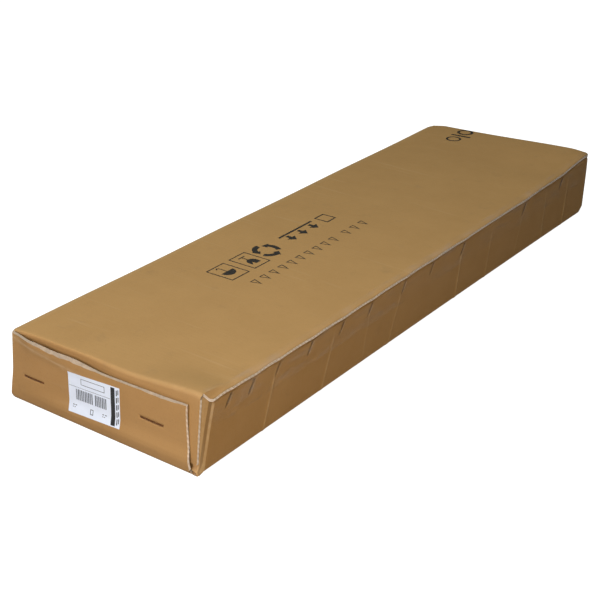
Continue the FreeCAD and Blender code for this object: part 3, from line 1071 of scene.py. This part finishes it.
def cut_edge_material(name, shade, groups, hollow=None, pitch=1.0):
    """Pale, ragged cut edges of the liners and the wavy paper, with painted shade in the hollows where
    flutes end.
    """
    material, tree, shader = new_material(name)
    place = node(tree, "TexCoord")
    fibre = paper_fibre(tree, groups, place.outputs["Object"], 180.0, 1200.0)
    dark = tuple(0.72 * part for part in shade)
    paper = blended(tree, fibre.outputs["Clouds"], solid(dark), solid(shade))
    if hollow:
        # Painted shade: darker bands at the flute pitch stand for the shadows in the hollows
        spot = node(tree, "SeparateXYZ", {0: place.outputs["Object"]})
        run = maths(tree, "ADD", spot.outputs["Y"], spot.outputs["Z"])
        wave = maths(tree, "SINE", maths(tree, "MULTIPLY", run, math.tau / pitch))
        paper = blended(tree, between(tree, wave, 0.5, -0.5), solid(hollow), paper)
    tree.links.new(paper, shader.inputs["Base Color"])
    shader.inputs["Roughness"].default_value = 0.85
    bump(tree, shader, fibre.outputs["Tooth"], 0.0002)
    return material


def film_material(finish):
    """Clear packing film: mostly see-through and glossy, its grey shown in cloudy patches and at a glance
    as a painted sheen, with painted glints beside the pleats.
    """
    material, tree, shader = new_material("clear_film")
    place = node(tree, "TexCoord")
    stretch = node(tree, "Mapping", {"Vector": place.outputs["Object"], "Scale": (90.0, 22.0, 90.0)})
    cloud = node(tree, "TexNoise", {"Vector": stretch.outputs[0], "Scale": 1.0, "Detail": 4.0})
    facing = node(tree, "LayerWeight", {"Blend": 0.35})
    # Painted sheen: the film's opacity rises in cloudy patches and at a glance, laying its grey over the
    # board
    cloudy_sheen = between(tree, cloud.outputs["Fac"], 0.5, 0.72, 0.004, 0.06)
    veil = maths(tree, "ADD", cloudy_sheen, maths(tree, "MULTIPLY", facing.outputs["Facing"], 0.01))
    # Painted glint beside each pleat: the film turns less clear there
    bridge = node(tree, "Attribute", attribute_name="bridge")
    glint = maths(tree, "MULTIPLY", bridge.outputs["Fac"], 0.09)
    tree.links.new(maths(tree, "ADD", veil, glint), shader.inputs["Alpha"])
    shader.inputs["Base Color"].default_value = solid(finish.film)
    rough = between(tree, cloud.outputs["Fac"], 0.0, 1.0, 0.12, 0.32)
    tree.links.new(rough, shader.inputs["Roughness"])
    shader.inputs["IOR"].default_value = 1.5
    bump(tree, shader, cloud.outputs["Fac"], 0.0003)
    return material


def ink_material(name, shade, groups, wear):
    """Print that lets a little of the paper through."""
    material, tree, shader = new_material(name)
    place = node(tree, "TexCoord")
    fibre = paper_fibre(tree, groups, place.outputs["Object"], 120.0, 900.0)
    thin = tuple(min(1.0, part + wear) for part in shade)
    tone = blended(tree, fibre.outputs["Flecks"], solid(shade), solid(thin))
    tree.links.new(tone, shader.inputs["Base Color"])
    shader.inputs["Roughness"].default_value = 0.55
    bump(tree, shader, fibre.outputs["Tooth"], 0.00005)
    return material


def label_material(finish, groups):
    """White label paper, slightly glossy."""
    material, tree, shader = new_material("label_paper")
    place = node(tree, "TexCoord")
    fibre = paper_fibre(tree, groups, place.outputs["Object"], 60.0, 1500.0)
    shade = tuple(0.93 * part for part in finish.paper)
    tree.links.new(blended(tree, fibre.outputs["Clouds"], solid(shade), solid(finish.paper)),
                   shader.inputs["Base Color"])
    shader.inputs["Roughness"].default_value = 0.45
    bump(tree, shader, fibre.outputs["Tooth"], 0.00004)
    return material


def copper_material(finish):
    """Copper-coated steel wire, dulled and darker in patches."""
    material, tree, shader = new_material("copper_wire")
    place = node(tree, "TexCoord")
    tarnish = node(tree, "TexNoise", {"Vector": place.outputs["Object"], "Scale": 420.0, "Detail": 4.0})
    dull = tuple(0.45 * part for part in finish.copper)
    mask = between(tree, tarnish.outputs["Fac"], 0.35, 0.7)
    tree.links.new(blended(tree, mask, solid(finish.copper), solid(dull)), shader.inputs["Base Color"])
    rough = between(tree, mask, 0.0, 1.0, 0.38, 0.62)
    tree.links.new(rough, shader.inputs["Roughness"])
    shader.inputs["Metallic"].default_value = 0.85
    bump(tree, shader, tarnish.outputs["Fac"], 0.00015)
    return material


def shared_groups():
    """Build the shared shader groups once."""
    fibre = bpy.data.node_groups.get("paper_fibre") or paper_fibre_group()
    ribs = bpy.data.node_groups.get("flute_ribs") or flute_ribs_group()
    return {"fibre": fibre, "ribs": ribs}


# Flat print

class Plane:
    """A flat place on the carton with its own right and up directions, in millimetres."""

    def __init__(self, origin, right, up):
        self.origin, self.right, self.up = origin, right, up
        self.normal = right.cross(up)

    def at(self, across, along):
        return self.origin + (self.right * across + self.up * along) * MM


def bar(plane, low, high):
    """Lay a rectangle between two corners."""
    start = plane.at(low[0], low[1])
    piece = start_row("bar", start, plane.at(high[0], low[1]))
    extrude_along([start, plane.at(low[0], high[1])])
    leave()
    return piece


def outline(plane, low, high, stroke):
    """Lay a rectangle's outline."""
    piece = bar(plane, low, high)
    edit(piece)
    bpy.ops.mesh.select_all(action="SELECT")
    bpy.ops.mesh.inset(thickness=stroke * MM)
    bpy.ops.mesh.delete(type="FACE")
    leave()
    return piece


def wedge(plane, first, second, tip, stroke=None):
    """Lay a triangle from a base and a tip, or its outline where a stroke is given."""
    start, end = plane.at(*first), plane.at(*second)
    piece = start_row("wedge", start, end)
    extrude_along([(start + end) / 2, plane.at(*tip)])
    bpy.ops.mesh.merge(type="CENTER")
    if stroke:
        bpy.ops.mesh.select_all(action="SELECT")
        bpy.ops.mesh.inset(thickness=stroke * MM)
        bpy.ops.mesh.delete(type="FACE")
    leave()
    return piece


def band(plane, centre, inner, outer, first, last, parts=16):
    """Lay part of a ring by spinning its radial edge, between angles in degrees from the right."""
    heading = Vector((math.cos(math.radians(first)), math.sin(math.radians(first))))
    start = plane.at(centre[0] + heading.x * inner, centre[1] + heading.y * inner)
    end = plane.at(centre[0] + heading.x * outer, centre[1] + heading.y * outer)
    piece = start_row("band", start, end)
    bpy.ops.mesh.spin(steps=parts, angle=math.radians(last - first), center=plane.at(*centre),
                      axis=-plane.normal)
    leave()
    return piece


def finish_print(name, patches, plane, material):
    """Join flat patches into one thin layer of ink."""
    piece = join(patches)
    piece.name = name
    edit(piece)
    bpy.ops.mesh.select_all(action="SELECT")
    bpy.ops.mesh.remove_doubles(threshold=SMALLEST_MOVE)
    bpy.ops.mesh.subdivide(number_cuts=INK_CUTS)
    mesh = bmesh.from_edit_mesh(piece.data)
    for face in mesh.faces:
        face.normal_update()
        if face.normal.dot(plane.normal) < 0:
            face.normal_flip()
    bmesh.update_edit_mesh(piece.data)
    leave()
    apply_modifier(piece, "ink", "SOLIDIFY", thickness=INK_THICKNESS, offset=1.0)
    piece.data.materials.clear()
    piece.data.materials.append(material)
    return piece


# Operators

def settings_of(context):
    """Give the scene's sizes and finishes, and the planes that follow from them."""
    size = context.scene.carton_sizes
    return size, context.scene.carton_finishes, Fold(size)


class CARTON_OT_board(bpy.types.Operator):
    """Fold the corrugated board into the closed carton"""

    bl_idname = "carton.board"
    bl_label = "Folded board"

    def execute(self, context):
        size, finish, fold = settings_of(context)
        groups = shared_groups()
        board = fold_wrap(size, fold)
        for end in (NEAR, FAR):
            fold_end(board, size, fold, end)
        shape_lid_corners(board, size, fold)
        flatten_corners(board, size, fold)
        score_side(board, fold)
        score_flap(board, fold)
        refine_round_staples(board, fold)
        face_outwards(board, Vector((0, 0, 1)))
        leave()
        flute_material = cut_edge_material("flute_paper", finish.flute, groups, finish.flute_hollow_shade,
                                           size.flute_pitch)
        board.data.materials.append(kraft_material(finish, size, groups))
        board.data.materials.append(cut_edge_material("cut_edge", finish.cut_edge, groups))
        board.data.materials.append(flute_material)
        apply_modifier(board, "thickness", "SOLIDIFY", thickness=size.board, offset=-1.0,
                       use_even_offset=True, material_offset_rim=1)
        board = flute_edges(board, size, fold, flute_material)
        note_wear_and_painted_light(board, fold, size)
        shape_near_flaps(board, size, fold)
        dent_staples(board, fold)
        finish_piece(board, fold, size, ("carton",))
        return {"FINISHED"}


class CARTON_OT_tape(bpy.types.Operator):
    """Lay the clear tape over the lid's free edge"""

    bl_idname = "carton.tape"
    bl_label = "Seam tape"

    def execute(self, context):
        size, finish, fold = settings_of(context)
        corner = 0.5 * MM
        lift = 0.3 * MM
        side_x = fold.half_width + lift
        top_z = fold.height + lift
        pairs = [(x, top_z) for x in steps([TAPE_LOW.x, side_x - corner], 2.5 * MM)]
        pairs += turn((side_x - corner, top_z - corner), corner, 90, 0, 3)
        pairs += [(side_x, z) for z in steps([top_z - corner, TAPE_LOW.z], 1.8 * MM)[1:]]
        path = [Vector((x, 0, z)) for x, z in pairs]
        start = path[0] + Vector((0, TAPE_LOW.y, 0))
        end = path[0] + Vector((0, TAPE_HIGH.y, 0))
        tape = start_row("tape_film", start, end, round((TAPE_HIGH.y - TAPE_LOW.y) / (1.6 * MM)))
        extrude_along(path)
        face_outwards(tape, Vector((0, 0, 1)))
        leave()
        apply_modifier(tape, "thickness", "SOLIDIFY", thickness=size.film, offset=1.0)
        # Painted glint: note where the film turns less clear, just beside each pleat
        beside = Vector((0, -PLEAT_HALF, 0))
        note(tape, "bridge", lambda p: pleats(p + beside) if p.x > fold.half_width else 0.0)
        tape.data.materials.append(film_material(finish))
        finish_piece(tape, fold, size, ("seam_tape",), 60)
        return {"FINISHED"}


class CARTON_OT_label(bpy.types.Operator):
    """Stick the printed label on the near end"""

    bl_idname = "carton.label"
    bl_label = "Label"

    def execute(self, context):
        size, finish, fold = settings_of(context)
        groups = shared_groups()
        tilt = size.label_turn
        right = Vector((math.cos(tilt), 0, math.sin(tilt)))
        up = Vector((-math.sin(tilt), 0, math.cos(tilt)))
        centre = (LABEL_LOW + LABEL_HIGH) / 2
        wide = (LABEL_HIGH.x - LABEL_LOW.x) / MM
        tall = (LABEL_HIGH.z - LABEL_LOW.z) / MM
        plane = Plane(Vector((centre.x, -fold.half_length - LABEL_LIFT, centre.z)), right, up)
        start = plane.at(-wide / 2, -tall / 2)
        paper = start_row("label_paper", start, plane.at(wide / 2, -tall / 2), 26)
        extrude_along([plane.at(-wide / 2, z) for z in steps([-tall / 2, tall / 2], 3.0)])
        face_outwards(paper, Vector((centre.x, -1, centre.z)))
        leave()
        apply_modifier(paper, "thickness", "SOLIDIFY", thickness=LABEL_THICKNESS, offset=1.0)
        paper.data.materials.append(label_material(finish, groups))
        finish_piece(paper, fold, size, ("label",))
        front = Plane(plane.origin + plane.normal * LABEL_INK_LIFT, right, up)
        toner = ink_material("label_toner", finish.toner, groups, 0.02)
        printed = finish_print("label_print", self.patches(front), front, toner)
        finish_piece(printed, fold, size)
        return {"FINISHED"}

    def patches(self, plane):
        """Lay out bars, a rule, a solid band and blank boxes."""
        marks = [bar(plane, (25, -24), (31, 24)), bar(plane, (-37, 8.2), (24, 8.6))]
        marks.append(outline(plane, (-19, 13), (16, 21), 0.6))
        place = -27.0
        for k in range(34):
            thick = 0.45 + 0.4 * (k * 7 % 3)
            gap = 0.5 + 0.35 * (k * 5 % 3)
            if not -2.5 < place < 1.5 and place + thick < 19:
                marks.append(bar(plane, (place, -8), (place + thick, 6)))
            place += thick + gap
        for row in range(5):
            marks.append(bar(plane, (32.8, -22 + 9.2 * row), (34.2, -15 + 9.2 * row)))
            marks.append(bar(plane, (35.2, -20 + 9.2 * row), (36.4, -14 + 9.2 * row)))
        marks.append(outline(plane, (-6, -21), (-1.5, -14.5), 0.8))
        marks += [bar(plane, (x, -16), (x + 2.4, -15)) for x in (-32, -28.5, 12, 16)]
        marks += [bar(plane, (x, -18.5), (x + 1.6, -17.7)) for x in (-32, -29.5, 12, 14.5)]
        return marks


class CARTON_OT_staples(bpy.types.Operator):
    """Drive the two copper staples of each end"""

    bl_idname = "carton.staples"
    bl_label = "Staples"

    def execute(self, context):
        size, finish, fold = settings_of(context)
        material = copper_material(finish)
        for end, word in ((NEAR, "near"), (FAR, "far")):
            for side, centre in STAPLE_PLACES.items():
                staple = self.bend(f"wire_{word}_{side}", size, fold, centre, STAPLE_TILT[side], end)
                staple.data.materials.append(material)
                finish_piece(staple, fold, size, (f"staple_{word}_{side}",))
        return {"FINISHED"}

    def bend(self, name, size, fold, centre, tilt, end):
        """Bend flat wire into a crown with two legs driven through the end's layers."""
        half = size.crown / 2
        face = fold.half_length - 0.1 * MM
        corner = 1.3 * MM
        leg = face - 9.5 * MM
        pairs = [(-half, y) for y in steps([leg, face - corner], 4 * MM)]
        pairs += turn((-half + corner, face - corner), corner, 180, 90, 4)
        crown = steps([-half + corner, half - corner], 2.5 * MM)
        pairs += [(x, face + 0.25 * MM * math.cos(math.pi * x / size.crown)) for x in crown[1:]]
        pairs += turn((half - corner, face - corner), corner, 90, 0, 4)
        pairs += [(half, y) for y in steps([face - corner, leg], 4 * MM)[1:]]
        path = [Vector((centre.x + x, end * y, centre.z + tilt * x)) for x, y in pairs]
        across = Vector((0, 0, size.wire_width / 2))
        staple = start_row(name, path[0] - across, path[0] + across, 2)
        extrude_along(path)
        face_outwards(staple, Vector((centre.x, end, centre.z)))
        leave()
        apply_modifier(staple, "thickness", "SOLIDIFY", thickness=size.wire_thickness, offset=-1.0)
        apply_modifier(staple, "edges", "BEVEL", width=0.25 * MM, segments=2, limit_method="ANGLE",
                       angle_limit=math.radians(50))
        return staple


class CARTON_OT_print(bpy.types.Operator):
    """Print the handling signs and marks on the lid"""

    bl_idname = "carton.print"
    bl_label = "Lid print"

    def execute(self, context):
        size, finish, fold = settings_of(context)
        plane = Plane(Vector((0, 0, fold.height + LID_INK_LIFT)), Vector((0, -1, 0)), Vector((1, 0, 0)))
        marks = self.keep_dry(plane) + self.handle_with_care(plane) + self.paper_loop(plane)
        marks += self.upright(plane) + self.tally(plane) + self.end_marks(plane)
        ink = ink_material("lid_ink", finish.ink, shared_groups(), 0.05)
        printed = finish_print("lid_print", marks, plane, ink)
        finish_piece(printed, fold, size)
        return {"FINISHED"}

    def keep_dry(self, plane):
        """Umbrella in a frame."""
        mid = 224.5
        return [outline(plane, (206, -63), (243, -20), 1.8), band(plane, (mid, -43), 0.2, 12, 0, 180),
                bar(plane, (mid - 0.8, -55), (mid + 0.8, -43)),
                band(plane, (mid + 2.5, -55), 1.7, 3.3, 180, 360, 8)]

    def handle_with_care(self, plane):
        """Goblet in a frame."""
        mid = 177.5
        return [outline(plane, (160, -63), (195, -20), 1.8), band(plane, (mid, -36), 0.2, 8.5, 180, 360),
                bar(plane, (mid - 8.5, -36), (mid + 1.5, -29)),
                wedge(plane, (mid + 1.5, -36), (mid + 8.5, -36), (mid + 8.5, -29)),
                bar(plane, (mid - 1, -54), (mid + 1, -43)),
                bar(plane, (mid - 6.5, -55.5), (mid + 6.5, -53.5))]

    def paper_loop(self, plane):
        """Three arrows chasing round a ring."""
        marks = []
        centre = (136.0, -43.0)
        for k in range(3):
            first = 120 * k + 20
            last = first + 70
            marks.append(band(plane, centre, 12.5, 20, first, last, 10))
            marks.append(wedge(plane, polar(centre, 9.5, last), polar(centre, 23.0, last),
                               polar(centre, 16, last + 34)))
        return marks

    def upright(self, plane):
        """Bold arrows over a bar, and a blank box beside them."""
        marks = [bar(plane, (12, -56), (92, -52.5)), outline(plane, (-22, -57), (1, -34), 2.2)]
        for mid in (25, 52, 79):
            marks.append(bar(plane, (mid - 3, -50), (mid + 3, -43)))
            marks.append(wedge(plane, (mid - 9, -43), (mid + 9, -43), (mid, -33)))
        return marks

    def tally(self, plane):
        """Spaced row of thin open triangles."""
        places = [-29 + 22 * k for k in range(3)] + [47 + 20.1 * k for k in range(10)]
        return [wedge(plane, (mid - 5.5, -1), (mid + 5.5, -1), (mid, 14.5), 1.4) for mid in places]

    def end_marks(self, plane):
        """Ring, bar and ring that run towards the far fold."""
        return [band(plane, (-492, -72), 9, 13.5, 0, 360, 24), bar(plane, (-473, -86), (-468, -52)),
                band(plane, (-450, -72), 9, 12.5, 0, 360, 24)]


class CARTON_OT_stage(bpy.types.Operator):
    """Set the floor, the studio light and the camera"""

    bl_idname = "carton.stage"
    bl_label = "Stage"

    def execute(self, context):
        stage = context.scene.carton_stage
        finish = context.scene.carton_finishes
        self.floor(stage, finish)
        self.lights(context, stage)
        self.camera(context, stage)
        return {"FINISHED"}

    def floor(self, stage, finish):
        bpy.ops.object.select_all(action="DESELECT")
        bpy.ops.mesh.primitive_plane_add(size=FLOOR_SIZE)
        floor = bpy.context.object
        floor.name = "studio_floor"
        material, tree, shader = new_material("studio_floor")
        shader.inputs["Base Color"].default_value = solid(finish.floor)
        shader.inputs["Roughness"].default_value = 0.9
        seen = node(tree, "LightPath")
        tree.links.new(seen.outputs["Is Camera Ray"], shader.inputs["Emission Color"])
        shader.inputs["Emission Strength"].default_value = stage.floor_glow
        floor.data.materials.append(material)

    def lights(self, context, stage):
        world = bpy.data.worlds.new("studio_surround")
        world.use_nodes = True
        tree = world.node_tree
        surround = tree.nodes["Background"]
        surround.inputs["Color"].default_value = (1, 1, 1, 1)
        surround.inputs["Strength"].default_value = stage.sky
        backdrop = node(tree, "Background", {"Color": (1, 1, 1, 1), "Strength": 1.0})
        seen = node(tree, "LightPath")
        mixed = node(tree, "MixShader", {0: seen.outputs["Is Camera Ray"], 1: surround.outputs[0],
                                         2: backdrop.outputs[0]})
        tree.links.new(mixed.outputs[0], tree.nodes["World Output"].inputs["Surface"])
        context.scene.world = world
        for name, (place, wide, tint, sheen) in LAMPS.items():
            self.lamp(f"{name}_light", place, getattr(stage, f"{name}_power"), wide, tint, sheen)

    def lamp(self, name, place, power, wide, tint, sheen):
        """Hang a square soft light that faces the carton, with or without a sheen where it glances off."""
        bpy.ops.object.light_add(type="AREA", location=place)
        light = bpy.context.object
        light.name = name
        light.data.energy = power
        light.data.color = tint
        light.data.size = wide
        light.visible_glossy = sheen
        light.rotation_euler = (LAMP_AIM - place).to_track_quat("-Z", "Y").to_euler()

    def camera(self, context, stage):
        around = stage.azimuth
        above = stage.elevation
        back = Vector((math.sin(around) * math.cos(above), -math.cos(around) * math.cos(above),
                       math.sin(above)))
        right = Vector((math.cos(around), math.sin(around), 0))
        up = back.cross(right)
        across = right * math.cos(stage.roll) + up * math.sin(stage.roll)
        upright = up * math.cos(stage.roll) - right * math.sin(stage.roll)
        place = Vector((stage.target_x, stage.target_y, 0)) + back * stage.distance
        bpy.ops.object.camera_add()
        camera = bpy.context.object
        camera.name = "photo_camera"
        turned = Matrix((across, upright, back)).transposed().to_4x4()
        camera.matrix_world = Matrix.Translation(place) @ turned
        camera.data.sensor_width = SENSOR_WIDTH
        camera.data.lens = stage.focal_pixels * SENSOR_WIDTH / IMAGE_PIXELS
        context.scene.camera = camera
        context.scene.view_settings.view_transform = "Standard"


class CARTON_PT_panel(bpy.types.Panel):
    """Lists the carton's pieces and their sizes"""

    bl_idname = "CARTON_PT_panel"
    bl_label = "Carton"
    bl_space_type = "VIEW_3D"
    bl_region_type = "UI"
    bl_category = "Carton"

    def draw(self, context):
        for operator in OPERATORS:
            self.layout.operator(operator.bl_idname)
        for group in PROPERTY_GROUPS:
            settings = getattr(context.scene, group)
            box = self.layout.box()
            for name in settings.bl_rna.properties.keys():
                if name not in {"rna_type", "name"}:
                    box.prop(settings, name)


OPERATORS = (CARTON_OT_board, CARTON_OT_tape, CARTON_OT_label, CARTON_OT_staples, CARTON_OT_print,
             CARTON_OT_stage)
PROPERTY_GROUPS = {
    "carton_sizes": CartonSizes,
    "carton_finishes": Finishes,
    "carton_stage": StageSettings,
}


def register():
    """Register the property groups, operators and panel."""
    for name, group in PROPERTY_GROUPS.items():
        bpy.utils.register_class(group)
        setattr(bpy.types.Scene, name, bpy.props.PointerProperty(type=group))
    for operator in OPERATORS:
        bpy.utils.register_class(operator)
    bpy.utils.register_class(CARTON_PT_panel)


def unregister():
    """Unregister everything in the opposite order."""
    bpy.utils.unregister_class(CARTON_PT_panel)
    for operator in reversed(OPERATORS):
        bpy.utils.unregister_class(operator)
    for name, group in reversed(PROPERTY_GROUPS.items()):
        delattr(bpy.types.Scene, name)
        bpy.utils.unregister_class(group)


def main():
    """Register the tools, build the carton piece by piece and set the stage."""
    register()
    bpy.ops.carton.board()
    bpy.ops.carton.tape()
    bpy.ops.carton.label()
    bpy.ops.carton.staples()
    bpy.ops.carton.print()
    bpy.ops.carton.stage()


if __name__ == "__main__":
    main()
